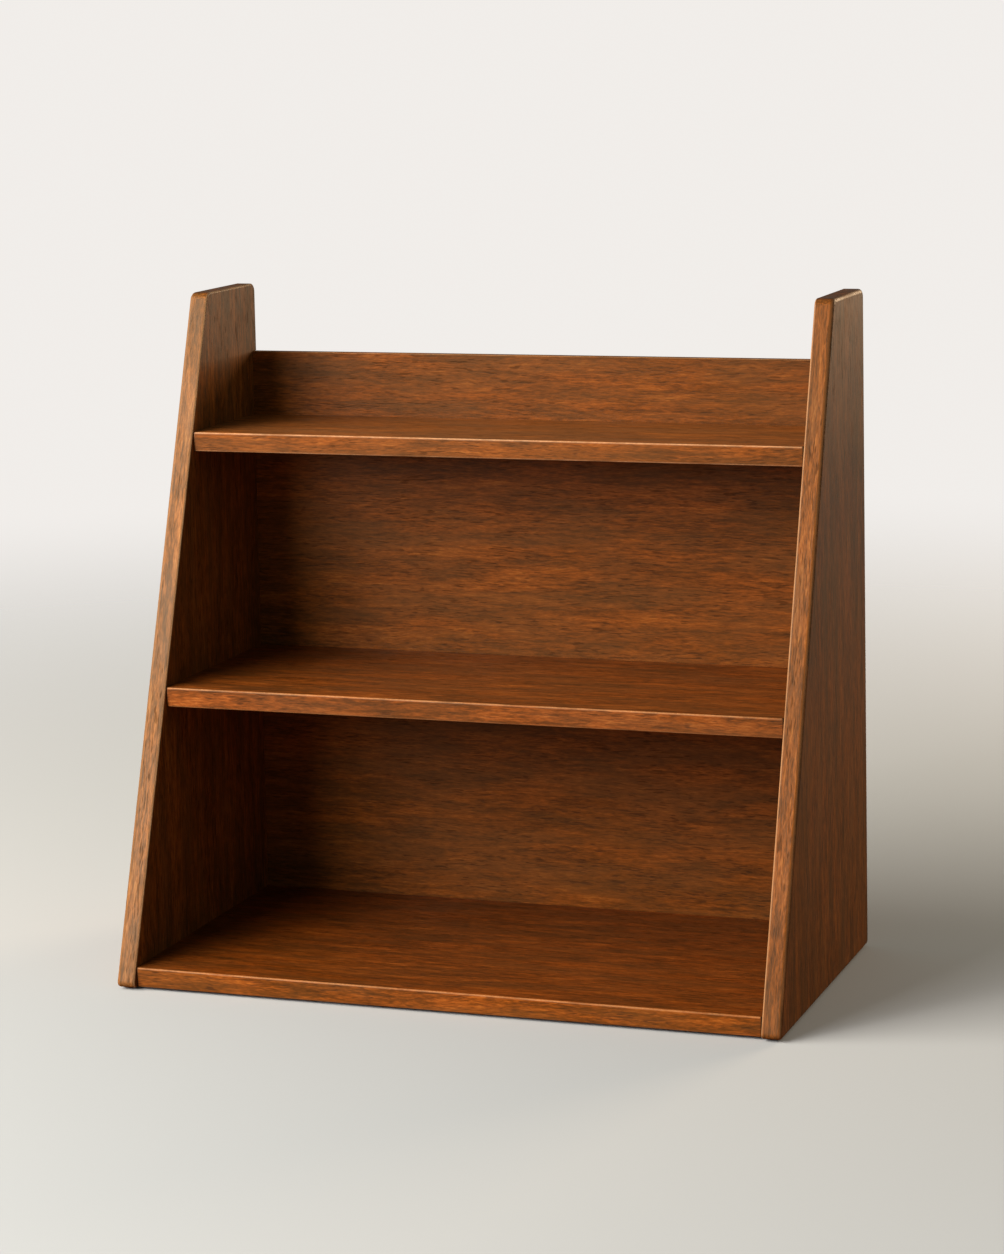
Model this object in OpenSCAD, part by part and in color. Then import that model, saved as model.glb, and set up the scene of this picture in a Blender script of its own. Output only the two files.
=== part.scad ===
/* [Stand] */
// Width over the outer faces of the two side boards
stand_w = 520; // [360:1:760]
// Height of the side boards
side_h = 514; // [420:1:700]
// Depth of the side boards along their bottom edge
foot_depth = 270; // [230:1:360]
// Depth of the side boards along their top edge
head_depth = 94; // [60:1:150]

/* [Boards] */
// Thickness of the side boards
side_t = 15; // [12:0.5:22]
// Thickness of the shelves
shelf_t = 15; // [12:0.5:22]
// Thickness of the back panel
back_t = 8; // [6:0.5:12]

/* [Levels] */
// From the side boards' bottom edge up to the underside of the bottom shelf
bottom_shelf_rise = 0.5; // [0:0.5:20]
// From the side boards' bottom edge up to the top of the middle shelf
middle_shelf_top = 218; // [150:1:260]
// From the side boards' top edge down to the top of the top shelf
top_shelf_drop = 106; // [60:1:130]
// From the side boards' top edge down to the top of the back panel, the low rail behind the top shelf
rail_drop = 55; // [10:1:56]
// How far each shelf's front face stays behind the side boards' front edge
shelf_setback = 0.5; // [0:0.1:4]

/* [Rounding] */
// Corner at the top rear of the side boards
rear_top_corner_r = 7; // [4:0.5:14]
// Corner at the top front of the side boards
front_top_corner_r = 7; // [4:0.5:14]
// Two bottom corners of the side boards
foot_corner_r = 4; // [3.5:0.5:10]
// Arrises round the outer face of the side boards
outer_arris_r = 3; // [1:0.25:3.25]
// Arrises round the inner face of the side boards
inner_arris_r = 1.5; // [0.5:0.25:3]
// Front arrises of the shelves, and the upright ones at their two ends
shelf_arris_r = 1.5; // [0.5:0.25:3]
// Arrises along the rear of the shelves and round the back panel
hidden_arris_r = 0.5; // [0.25:0.05:1]

/* [Dowel joints between shelves and sides] */
// Diameter of the dowels
dowel_d = 8; // [6:0.5:9]
// Depth that a dowel goes into a side board
dowel_in_side = 9.5; // [6:0.5:10]
// Depth that a dowel goes into a shelf
dowel_in_shelf = 20.5; // [12:0.5:26]
// Dowels at each end of a shelf
dowel_count = 3; // [2:1:4]
// From a shelf's front face to the middle of its first dowel
dowel_front_inset = 26; // [16:1:34]
// From a shelf's rear edge to the middle of its last dowel
dowel_rear_inset = 26; // [16:1:34]
// Chamfer at both ends of a dowel
dowel_chamfer = 0.8; // [0.4:0.1:1.5]
// Glue flutes round a dowel
flute_count = 8; // [4:1:12]
// Depth of a glue flute
flute_depth = 0.35; // [0.2:0.05:0.6]
// Room left for glue at the blind end of a dowel bore
glue_room = 1; // [0.5:0.25:2]
// Gap all round a dowel in its bore
dowel_gap = 0.05; // [0.02:0.01:0.2]

/* [Back panel joints] */
// How far the back panel reaches into the rebate of each side board
rebate_w = 7; // [4:0.5:8]
// Gap between the back panel and the ends of its rebates
rebate_gap = 0.3; // [0.1:0.1:1]
// Gap on the glue line wherever a shelf meets another board
glue_line = 0.1; // [0.05:0.05:0.3]
// Screws from the back panel into each shelf
screws_per_shelf = 4; // [2:1:6]
// From the inner face of a side board to the nearest screw
screw_end_inset = 50; // [30:1:80]
// Outer diameter of the screw thread
screw_d = 3.5; // [3:0.1:4.5]
// Length of the screws, head included
screw_length = 30; // [20:1:35]
// Diameter of the countersunk screw heads
screw_head_d = 7; // [6:0.1:9]
// Depth of the screw thread
thread_depth = 0.5; // [0.3:0.05:0.7]
// Distance from one turn of the thread to the next
thread_pitch = 1.6; // [1.2:0.1:2.4]
// Gap all round a screw in its hole
screw_gap = 0.1; // [0.05:0.05:0.4]
// How far a screw head sits below the rear face
head_sink = 0.3; // [0.1:0.1:1]

/* [Felt pads] */
// Diameter of the felt pads under the side boards
pad_d = 10; // [6:0.5:10]
// Thickness of the felt pads
pad_t = 1.5; // [1:0.1:4]
// From the front and the rear of the side boards to the middle of a pad
pad_inset = 22; // [12:1:60]

/* [Hidden] */

$fn = 48;
over = 0.5;              // how far a cutter runs past the face that it opens
proud = 0.02;            // how far a rounding's arc stands proud of the faces that it joins
walnut = [0.48, 0.27, 0.14];
walnut_dark = [0.40, 0.22, 0.12];
beech = [0.82, 0.66, 0.45];
steel = [0.72, 0.72, 0.70];
felt = [0.20, 0.17, 0.15];

LEFT = -1;
RIGHT = 1;

inner_x = stand_w / 2 - side_t;             // inner face of the right side board
front_y = -foot_depth / 2;
rear_y = foot_depth / 2;
slope = (foot_depth - head_depth) / side_h; // how far the front edge leans back per unit of height
back_front_y = rear_y - back_t;

// Outline of a side board: y to the rear, z up from its bottom edge
side_outline = [[front_y, 0], [rear_y, 0], [rear_y, side_h], [rear_y - head_depth, side_h]];
side_radii = [foot_corner_r, foot_corner_r, rear_top_corner_r, front_top_corner_r];

bottom_shelf_top = bottom_shelf_rise + shelf_t;
top_shelf_top = side_h - top_shelf_drop;
back_top = side_h - rail_drop;
shelf_rear_y = back_front_y - glue_line;
shelf_w = 2 * (inner_x - glue_line);

// Front face of a shelf whose top is at the given level
function shelf_front_y(top) = front_y + slope * top + shelf_setback;
// Evenly spaced values from first to last
function spread(first, last, count) = [for (i = [0 : count - 1]) first + (last - first) * i / (count - 1)];
function dowel_ys(top) = spread(shelf_front_y(top) + dowel_front_inset, shelf_rear_y - dowel_rear_inset, dowel_count);
screw_xs = spread(-inner_x + screw_end_inset, inner_x - screw_end_inset, screws_per_shelf);

pad_x = inner_x + (inner_arris_r + side_t - outer_arris_r) / 2; // middle of a side board's flat underside

// ---- Rounded outlines -------------------------------------------------------

function unit(v) = v / norm(v);
function before(points, i) = points[(i + len(points) - 1) % len(points)];
function after(points, i) = points[(i + 1) % len(points)];
// Half the inner angle at a corner
function half_angle(points, i) =
    acos(unit(before(points, i) - points[i]) * unit(after(points, i) - points[i])) / 2;
// From a corner to where its rounding starts
function run_in(points, radii, i) = radii[i] / tan(half_angle(points, i));
function arc_start(points, radii, i) =
    points[i] + unit(before(points, i) - points[i]) * run_in(points, radii, i);
function arc_end(points, radii, i) =
    points[i] + unit(after(points, i) - points[i]) * run_in(points, radii, i);
function arc_centre(points, radii, i) =
    points[i] + unit(unit(before(points, i) - points[i]) + unit(after(points, i) - points[i]))
        * radii[i] / sin(half_angle(points, i));
function direction(v) = atan2(v[1], v[0]);

// A convex outline, points anticlockwise, with every corner rounded
module rounded_outline(points, radii) {
    polygon([for (i = [0 : len(points) - 1])
        each [arc_start(points, radii, i), arc_end(points, radii, i)]]);
    for (i = [0 : len(points) - 1])
        translate(arc_centre(points, radii, i)) circle(radii[i]);
}

// What rounding takes off a square arris: the arris at the origin, the board towards +x and -y.
// The arc stands a little proud of both faces, so that it crosses them at a small angle.
module arris_waste(radius) {
    difference() {
        translate([-over, -radius]) square(radius + over);
        translate([radius - proud, proud - radius]) circle(radius);
    }
}

// Cutter that rounds the arris all round the upper face of a board with a rounded outline
module arris_cutter(points, radii, radius) {
    for (i = [0 : len(points) - 1]) {
        side = after(points, i) - points[i];
        translate(points[i]) rotate([0, 0, direction(side)])
            translate([-over, 0]) rotate([90, 0, 90]) linear_extrude(norm(side) + 2 * over) arris_waste(radius);
        centre = arc_centre(points, radii, i);
        translate(centre) rotate([0, 0, direction(arc_start(points, radii, i) - centre)])
            rotate_extrude(angle = 180 - 2 * half_angle(points, i))
                translate([radii[i] + proud, 0]) mirror([1, 0]) arris_waste(radius);
    }
}

// ---- Side boards ------------------------------------------------------------

// Blind bores for the dowels of one shelf, drilled into the inner face at x = 0 towards +x
module side_bores(shelf_top) {
    for (y = dowel_ys(shelf_top))
        translate([-over, y, shelf_top - shelf_t / 2]) rotate([0, 90, 0])
            cylinder(d = dowel_d + 2 * dowel_gap, h = over + dowel_in_side + glue_line / 2 + glue_room);
}

// Right side board, its inner face at x = 0
module side_board() {
    difference() {
        rotate([90, 0, 90]) difference() {
            linear_extrude(side_t) rounded_outline(side_outline, side_radii);
            translate([0, 0, side_t]) arris_cutter(side_outline, side_radii, outer_arris_r);
            mirror([0, 0, 1]) arris_cutter(side_outline, side_radii, inner_arris_r);
        }
        // Rebate for the back panel, open at the bottom and stopped above the panel
        translate([-over, back_front_y - glue_line, -over])
            cube([over + rebate_w, back_t + glue_line + over, over + back_top + rebate_gap]);
        for (top = [bottom_shelf_top, middle_shelf_top, top_shelf_top]) side_bores(top);
    }
}

module left_side() {
    color(walnut) mirror([1, 0, 0]) translate([inner_x, 0, pad_t]) side_board();
}

module right_side() {
    color(walnut) translate([inner_x, 0, pad_t]) side_board();
}

// ---- Shelves ----------------------------------------------------------------

// Shelf whose top face is at the given level above the side boards' bottom edge
module shelf(top) {
    near = shelf_front_y(top);
    depth = shelf_rear_y - near;
    section = [[near, top - shelf_t], [shelf_rear_y, top - shelf_t], [shelf_rear_y, top], [near, top]];
    plan = [[-shelf_w / 2, near], [shelf_w / 2, near],
            [shelf_w / 2, shelf_rear_y], [-shelf_w / 2, shelf_rear_y]];
    translate([0, 0, pad_t]) difference() {
        intersection() {
            translate([-shelf_w / 2, 0, 0]) rotate([90, 0, 90]) linear_extrude(shelf_w)
                rounded_outline(section, [shelf_arris_r, hidden_arris_r, hidden_arris_r, shelf_arris_r]);
            translate([0, 0, top - shelf_t]) linear_extrude(shelf_t)
                rounded_outline(plan, [shelf_arris_r, shelf_arris_r, hidden_arris_r, hidden_arris_r]);
        }
        for (end = [LEFT, RIGHT], y = dowel_ys(top))
            translate([end * (shelf_w / 2 + over), y, top - shelf_t / 2]) rotate([0, -90 * end, 0])
                cylinder(d = dowel_d + 2 * dowel_gap, h = over + dowel_in_shelf - glue_line / 2 + glue_room);
        for (x = screw_xs)
            translate([x, shelf_rear_y + over, top - shelf_t / 2]) rotate([90, 0, 0])
                cylinder(d = screw_d + 2 * screw_gap, h = over + screw_length + head_sink - back_t + screw_gap);
    }
}

module bottom_shelf() {
    color(walnut) shelf(bottom_shelf_top);
}

module middle_shelf() {
    color(walnut) shelf(middle_shelf_top);
}

module top_shelf() {
    color(walnut) shelf(top_shelf_top);
}

// ---- Back panel -------------------------------------------------------------

module back_panel() {
    half_w = inner_x + rebate_w - rebate_gap;
    face = [[-half_w, 0], [half_w, 0], [half_w, back_top], [-half_w, back_top]];
    edge = [[back_front_y, 0], [rear_y, 0], [rear_y, back_top], [back_front_y, back_top]];
    color(walnut_dark) translate([0, 0, pad_t]) difference() {
        intersection() {
            translate([0, rear_y, 0]) rotate([90, 0, 0]) linear_extrude(back_t)
                rounded_outline(face, [for (corner = face) hidden_arris_r]);
            translate([-half_w, 0, 0]) rotate([90, 0, 90]) linear_extrude(2 * half_w)
                rounded_outline(edge, [for (corner = edge) hidden_arris_r]);
        }
        for (top = [bottom_shelf_top, middle_shelf_top, top_shelf_top], x = screw_xs)
            translate([x, rear_y, top - shelf_t / 2]) screw_hole();
    }
}

// ---- Dowels -----------------------------------------------------------------

// One fluted dowel along +x from the origin
module dowel() {
    length = dowel_in_side + dowel_in_shelf;
    tip_r = dowel_d / 2 - dowel_chamfer;
    rotate([0, 90, 0]) difference() {
        rotate_extrude() polygon([[0, 0], [tip_r, 0], [dowel_d / 2, dowel_chamfer],
            [dowel_d / 2, length - dowel_chamfer], [tip_r, length], [0, length]]);
        for (i = [0 : flute_count - 1])
            rotate([0, 0, i * 360 / flute_count]) translate([dowel_d / 2 + flute_depth, 0, -over])
                cylinder(r = 2 * flute_depth, h = length + 2 * over);
    }
}

// Dowels of one shelf end: side is LEFT or RIGHT
module shelf_dowels(top, side) {
    color(beech) for (y = dowel_ys(top))
        translate([side * (inner_x - glue_line / 2 - dowel_in_shelf), y, pad_t + top - shelf_t / 2])
            rotate([0, 0, side == RIGHT ? 0 : 180]) dowel();
}

module bottom_left_dowels() {
    shelf_dowels(bottom_shelf_top, LEFT);
}

module bottom_right_dowels() {
    shelf_dowels(bottom_shelf_top, RIGHT);
}

module middle_left_dowels() {
    shelf_dowels(middle_shelf_top, LEFT);
}

module middle_right_dowels() {
    shelf_dowels(middle_shelf_top, RIGHT);
}

module top_left_dowels() {
    shelf_dowels(top_shelf_top, LEFT);
}

module top_right_dowels() {
    shelf_dowels(top_shelf_top, RIGHT);
}

// ---- Screws -----------------------------------------------------------------

head_h = (screw_head_d - screw_d) / 2; // a 90 degree countersink
recess_arm = screw_head_d * 0.55;
recess_w = screw_head_d * 0.14;
recess_depth = head_h * 0.9;
tip_h = screw_d;

// Hole through the back panel: the rear face at the origin, the hole towards -y
module screw_hole() {
    rotate([90, 0, 0]) {
        translate([0, 0, -over]) cylinder(d = screw_d + 2 * screw_gap, h = back_t + 2 * over);
        translate([0, 0, head_sink]) cylinder(d1 = screw_head_d + 2 * screw_gap, d2 = screw_d + 2 * screw_gap, h = head_h);
        translate([0, 0, -over]) cylinder(d = screw_head_d + 2 * screw_gap, h = head_sink + over);
    }
}

// One countersunk wood screw: the top of its head at the origin, its tip towards -y
module screw() {
    turns = floor((screw_length - head_h - tip_h) / thread_pitch);
    first = screw_length - tip_h - turns * thread_pitch;
    root_r = screw_d / 2 - thread_depth;
    crests = [for (i = [0 : turns - 1]) each [
        [root_r, first + i * thread_pitch],
        [screw_d / 2, first + (i + 0.5) * thread_pitch]]];
    rotate([90, 0, 0]) difference() {
        rotate_extrude() polygon(concat(
            [[0, 0], [screw_head_d / 2, 0], [root_r, head_h + thread_depth]],
            crests,
            [[root_r, screw_length - tip_h], [0, screw_length]]));
        for (turn = [0, 90])
            rotate([0, 0, turn]) translate([-recess_arm / 2, -recess_w / 2, -over])
                cube([recess_arm, recess_w, recess_depth + over]);
    }
}

module shelf_screws(top) {
    color(steel) for (x = screw_xs)
        translate([x, rear_y - head_sink, pad_t + top - shelf_t / 2]) screw();
}

module bottom_screws() {
    shelf_screws(bottom_shelf_top);
}

module middle_screws() {
    shelf_screws(middle_shelf_top);
}

module top_screws() {
    shelf_screws(top_shelf_top);
}

// ---- Felt pads --------------------------------------------------------------

module pad(side, y) {
    color(felt) translate([side * pad_x, y, 0]) cylinder(d = pad_d, h = pad_t);
}

module front_left_pad() {
    pad(LEFT, front_y + pad_inset);
}

module front_right_pad() {
    pad(RIGHT, front_y + pad_inset);
}

module rear_left_pad() {
    pad(LEFT, rear_y - pad_inset);
}

module rear_right_pad() {
    pad(RIGHT, rear_y - pad_inset);
}

left_side();
right_side();
bottom_shelf();
middle_shelf();
top_shelf();
back_panel();
bottom_left_dowels();
bottom_right_dowels();
middle_left_dowels();
middle_right_dowels();
top_left_dowels();
top_right_dowels();
bottom_screws();
middle_screws();
top_screws();
front_left_pad();
front_right_pad();
rear_left_pad();
rear_right_pad();
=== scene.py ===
"""Tabletop stand for albums: its boards, joints and fittings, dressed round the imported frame."""

import logging
import math
from dataclasses import dataclass, field
from enum import Enum

import bmesh
import bpy
from mathutils import Matrix, Vector, noise


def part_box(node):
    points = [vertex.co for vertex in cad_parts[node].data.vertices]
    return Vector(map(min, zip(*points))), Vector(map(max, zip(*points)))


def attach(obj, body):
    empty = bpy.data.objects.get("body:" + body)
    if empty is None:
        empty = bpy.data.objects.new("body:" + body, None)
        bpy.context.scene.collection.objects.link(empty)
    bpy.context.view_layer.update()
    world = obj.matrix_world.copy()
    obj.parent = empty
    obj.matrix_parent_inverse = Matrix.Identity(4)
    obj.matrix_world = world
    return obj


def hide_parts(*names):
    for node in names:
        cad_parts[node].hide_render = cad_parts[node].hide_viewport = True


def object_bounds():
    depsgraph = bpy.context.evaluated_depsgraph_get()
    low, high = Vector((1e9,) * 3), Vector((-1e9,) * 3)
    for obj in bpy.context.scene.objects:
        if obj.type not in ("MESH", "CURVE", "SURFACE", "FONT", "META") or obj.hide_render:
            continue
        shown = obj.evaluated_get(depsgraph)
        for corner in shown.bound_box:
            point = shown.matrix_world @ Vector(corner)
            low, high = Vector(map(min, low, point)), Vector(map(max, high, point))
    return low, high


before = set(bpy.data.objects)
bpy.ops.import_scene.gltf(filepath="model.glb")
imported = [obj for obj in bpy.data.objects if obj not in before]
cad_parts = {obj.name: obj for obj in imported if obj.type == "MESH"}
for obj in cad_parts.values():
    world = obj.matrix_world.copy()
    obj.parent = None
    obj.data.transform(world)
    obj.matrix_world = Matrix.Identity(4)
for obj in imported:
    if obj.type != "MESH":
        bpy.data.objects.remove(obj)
CAD_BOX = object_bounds()

LOG = logging.getLogger("album_stand")

MM = 0.001
BODY = "root"
ROUND_PROFILE = 0.5
KEEP_MATERIAL = -1
MATRIX_SIZE = 4
WALL_CORNERS = 4  # a drilling's walls are made of four-cornered faces
SAME_PLACE = 0.01 * MM  # points nearer than this are one
PAST = 1.0 * MM  # how far a cutter runs past the face that it opens

# The mesh attributes that say how far each point of a board lies on an arris, where the finish is rubbed
# thin and a highlight is painted, and how much painted shade it gets in a joint's groove.
ARRIS = "arris"
GROOVE_SHADE = "seam"

# How squarely an arris still lies to its board where its finish is fully rubbed thin and its painted
# highlight is at its strongest.
FULL_WEAR_AND_HIGHLIGHT_LEAN = math.cos(math.radians(38.0))

# The side boards: their height, and how deep they are at the foot and at the head.
SIDE_HEIGHT = 514.0 * MM
FOOT_DEPTH = 270.0 * MM
HEAD_DEPTH = 94.0 * MM

# How far their front edges lean back for each unit of height.
SIDE_LEAN = (FOOT_DEPTH - HEAD_DEPTH) / SIDE_HEIGHT

FLOAT = "NodeSocketFloat"
VECTOR = "NodeSocketVector"

Colour = tuple[float, float, float, float]
Triple = tuple[float, float, float]
Pair = tuple[float, float]
Socket = bpy.types.NodeSocket

WHOLE: Pair = (0.0, 1.0)  # the whole range of a mask
PLAIN: Colour = (1.0, 1.0, 1.0, 1.0)  # leaves a colour as it is


class Side(Enum):
    """The two ends of the stand, as signs along X."""

    LEFT = -1
    RIGHT = 1


class Axis(Enum):
    """The axes that a board's flat faces may be square to, as places in a vector."""

    X = 0
    Y = 1


class Run(Enum):
    """Which way a board's grain runs."""

    ALONG_X = "along the width of the stand"
    ALONG_Z = "up the height of the stand"


class End(Enum):
    """The front and the rear feet of the side boards."""

    FRONT = "front"
    REAR = "rear"


class Level(Enum):
    """The three shelves, from the table up."""

    BOTTOM = "bottom"
    MIDDLE = "middle"
    TOP = "top"


# ---- Shader wiring ----------------------------------------------------------


@dataclass(frozen=True)
class Layer:
    """One layer of noise: how many waves it has to the metre along and across the grain."""

    along: float
    across: float
    detail: float = 2.0
    roughness: float = 0.5


class Wiring:
    """Places nodes in one shader tree and joins them up."""

    COLUMN = 220.0
    RAMP_END = 1.0

    def __init__(self, tree: bpy.types.NodeTree) -> None:
        """Starts work on a tree.

        Args:
            tree: The node tree that the nodes go into.
        """
        self.tree = tree
        self.count = 0

    def place(self, kind: str, name: str, **settings: object) -> bpy.types.Node:
        """Adds one node.

        Args:
            kind: Blender's name for the node type.
            name: What the node is for.
            **settings: Properties to set on it.

        Returns:
            The new node.
        """
        node = self.tree.nodes.new(kind)
        node.name = name
        node.label = name
        node.location = (self.COLUMN * self.count, 0.0)
        self.count += 1
        for key, value in settings.items():
            setattr(node, key, value)
        return node

    def feed(self, socket: Socket, value: object) -> None:
        """Links a socket to another, or sets its own value.

        Args:
            socket: The input to feed.
            value: A socket to link from, or a plain value.
        """
        if isinstance(value, Socket):
            self.tree.links.new(value, socket)
        else:
            socket.default_value = value

    def stretch(self, name: str, vector: Socket, factors: Triple) -> Socket:
        """Scales a coordinate.

        Args:
            name: What the node is for.
            vector: The coordinate.
            factors: One factor for each axis.

        Returns:
            The scaled coordinate.
        """
        node = self.place("ShaderNodeVectorMath", name, operation="MULTIPLY")
        self.feed(node.inputs[0], vector)
        self.feed(node.inputs[1], factors)
        return node.outputs["Vector"]

    def noise(self, name: str, vector: Socket, layer: Layer) -> bpy.types.Node:
        """Adds a noise drawn out along the grain, which runs along X of the coordinate.

        Args:
            name: What the noise stands for.
            vector: The board's coordinate.
            layer: The noise's fineness.

        Returns:
            The noise node.
        """
        node = self.place("ShaderNodeTexNoise", name)
        drawn = self.stretch(f"{name} drawn out", vector, (layer.along, layer.across, layer.across))
        self.feed(node.inputs["Vector"], drawn)
        self.feed(node.inputs["Scale"], 1.0)
        self.feed(node.inputs["Detail"], layer.detail)
        self.feed(node.inputs["Roughness"], layer.roughness)
        return node

    def maths(self, name: str, operation: str, first: object, second: object = 0.0) -> Socket:
        """Adds a sum, product or other operation on two values.

        Args:
            name: What the result is.
            operation: Blender's name for the operation.
            first: A socket or a number.
            second: A socket or a number.

        Returns:
            The result's socket.
        """
        node = self.place("ShaderNodeMath", name, operation=operation)
        self.feed(node.inputs[0], first)
        self.feed(node.inputs[1], second)
        return node.outputs["Value"]

    def remap(
        self,
        name: str,
        value: Socket,
        source: Pair,
        target: Pair = WHOLE,
    ) -> Socket:
        """Brings one range of a value softly onto another, and stops at its ends.

        Args:
            name: What the result is.
            value: The value to bring over.
            source: The range that it is read in.
            target: The range that it comes out in.

        Returns:
            The result's socket.
        """
        node = self.place("ShaderNodeMapRange", name, interpolation_type="SMOOTHSTEP")
        self.feed(node.inputs["Value"], value)
        for socket, number in zip(("From Min", "From Max", "To Min", "To Max"), (*source, *target)):
            self.feed(node.inputs[socket], number)
        return node.outputs["Result"]

    def blend(
        self, name: str, factor: object, under: object, over: object, kind: str = "MIX"
    ) -> Socket:
        """Mixes two colours.

        Args:
            name: What the result is.
            factor: How much of the upper colour shows, a socket or a number.
            under: The lower colour.
            over: The upper colour.
            kind: Blender's name for the way they mix.

        Returns:
            The mixed colour's socket.
        """
        node = self.place("ShaderNodeMix", name, data_type="RGBA", blend_type=kind)
        sockets = {socket.identifier: socket for socket in (*node.inputs, *node.outputs)}
        self.feed(sockets["Factor_Float"], factor)
        self.feed(sockets["A_Color"], under)
        self.feed(sockets["B_Color"], over)
        return sockets["Result_Color"]

    def ramp(self, name: str, value: Socket, stops: list[tuple[float, Colour]]) -> Socket:
        """Turns a value into a colour.

        Args:
            name: What the colour is.
            value: The value from 0 to 1.
            stops: Places along the ramp with their colours, lowest first.

        Returns:
            The colour's socket.
        """
        node = self.place("ShaderNodeValToRGB", name)
        elements = node.color_ramp.elements
        for _ in range(len(stops) - len(elements)):
            elements.new(self.RAMP_END)
        for element, (position, colour) in zip(elements, stops):
            element.position = position
            element.color = colour
        self.feed(node.inputs["Fac"], value)
        return node.outputs["Color"]

    def place_on_piece(self) -> Socket:
        """Reads where a point lies in the stand's own frame."""
        return self.place("ShaderNodeTexCoord", "coordinate").outputs["Object"]

    def bump(self, name: str, height: Socket, strength: float, depth: float) -> Socket:
        """Raises the surface a little.

        Args:
            name: What is raised.
            height: The height from 0 to 1.
            strength: How much of it shows.
            depth: How high it stands where the height is 1.

        Returns:
            The raised surface's normal.
        """
        node = self.place("ShaderNodeBump", name)
        self.feed(node.inputs["Height"], height)
        self.feed(node.inputs["Strength"], strength)
        self.feed(node.inputs["Distance"], depth)
        return node.outputs["Normal"]

    def use(self, group: bpy.types.NodeTree, name: str, **inputs: object) -> bpy.types.Node:
        """Places a node group.

        Args:
            group: The group's tree.
            name: What it is used for.
            **inputs: Values or sockets for its inputs, with _ for a space.

        Returns:
            The group's node.
        """
        node = self.place("ShaderNodeGroup", name, node_tree=group)
        for key, value in inputs.items():
            self.feed(node.inputs[key.replace("_", " ")], value)
        return node


def group_tree(
    name: str, takes: dict[str, str], gives: dict[str, str]
) -> tuple[Wiring, bpy.types.Node, bpy.types.Node]:
    """Starts a shader node group.

    Args:
        name: The group's name.
        takes: Its inputs' names with their socket types.
        gives: Its outputs' names with their socket types.

    Returns:
        Its wiring, its input node and its output node.
    """
    tree = bpy.data.node_groups.new(name, "ShaderNodeTree")
    for socket, kind in takes.items():
        tree.interface.new_socket(name=socket, in_out="INPUT", socket_type=kind)
    for socket, kind in gives.items():
        tree.interface.new_socket(name=socket, in_out="OUTPUT", socket_type=kind)
    wiring = Wiring(tree)
    entry = wiring.place("NodeGroupInput", "in")
    leave = wiring.place("NodeGroupOutput", "out")
    return wiring, entry, leave


@dataclass(frozen=True)
class GrainGroup:
    """The timber itself: bands, streaks, fibres and open pores, drawn out along the grain."""

    sway: Layer = Layer(5.0, 18.0, 1.0)
    ripple: Layer = Layer(30.0, 110.0, 2.0)
    bands: Layer = Layer(11.0, 95.0, 3.0, 0.6)
    streaks: Layer = Layer(46.0, 420.0, 3.0, 0.62)
    fibres: Layer = Layer(170.0, 1150.0, 2.0, 0.6)
    pores: Layer = Layer(90.0, 850.0, 1.0)
    clusters: Layer = Layer(16.0, 100.0, 2.0)
    blotches: Layer = Layer(10.0, 60.0, 3.0, 0.55)
    sway_size: float = 6.0 * MM
    ripple_size: float = 1.6 * MM
    pore_window: Pair = (0.56, 0.66)
    cluster_window: Pair = (0.36, 0.58)
    spread: Pair = (0.22, 0.78)
    middle: float = 0.5

    def shift(self, wiring: Wiring, name: str, vector: Socket, layer: Layer, size: float) -> Socket:
        """Moves a coordinate across the grain by a noise, so that the grain isn't ruled straight.

        Args:
            wiring: The group's wiring.
            name: What the movement stands for.
            vector: The coordinate.
            layer: The noise that moves it.
            size: How far it moves, from peak to peak.

        Returns:
            The moved coordinate.
        """
        wave = wiring.noise(name, vector, layer)
        centred = wiring.place("ShaderNodeVectorMath", f"{name} centred", operation="SUBTRACT")
        wiring.feed(centred.inputs[0], wave.outputs["Color"])
        wiring.feed(centred.inputs[1], (self.middle,) * 3)
        scaled = wiring.stretch(f"{name} size", centred.outputs["Vector"], (0.0, size, size))
        moved = wiring.place("ShaderNodeVectorMath", f"{name} added", operation="ADD")
        wiring.feed(moved.inputs[0], vector)
        wiring.feed(moved.inputs[1], scaled)
        return moved.outputs["Vector"]

    def build(self) -> bpy.types.NodeTree:
        """Builds the group.

        Returns:
            The group's tree: Bands, Streaks, Fibres, Pores and Blotches, each from 0 to 1.
        """
        takes = {"Board": VECTOR}
        gives = {name: FLOAT for name in ("Bands", "Streaks", "Fibres", "Pores", "Blotches")}
        wiring, entry, leave = group_tree("timber_grain", takes, gives)
        board = entry.outputs["Board"]
        swayed = self.shift(wiring, "sway", board, self.sway, self.sway_size)
        grain = self.shift(wiring, "ripple", swayed, self.ripple, self.ripple_size)
        for output, layer in (
            ("Bands", self.bands),
            ("Streaks", self.streaks),
            ("Fibres", self.fibres),
            ("Blotches", self.blotches),
        ):
            made = wiring.noise(output.lower(), grain, layer).outputs["Fac"]
            wiring.feed(leave.inputs[output], wiring.remap(f"{output.lower()} spread", made, self.spread))
        dashes = wiring.noise("pores", grain, self.pores).outputs["Fac"]
        groups = wiring.noise("clusters", grain, self.clusters).outputs["Fac"]
        open_pores = wiring.maths(
            "open pores",
            "MULTIPLY",
            wiring.remap("pore dashes", dashes, self.pore_window),
            wiring.remap("pore clusters", groups, self.cluster_window),
        )
        wiring.feed(leave.inputs["Pores"], open_pores)
        return wiring.tree


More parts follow.
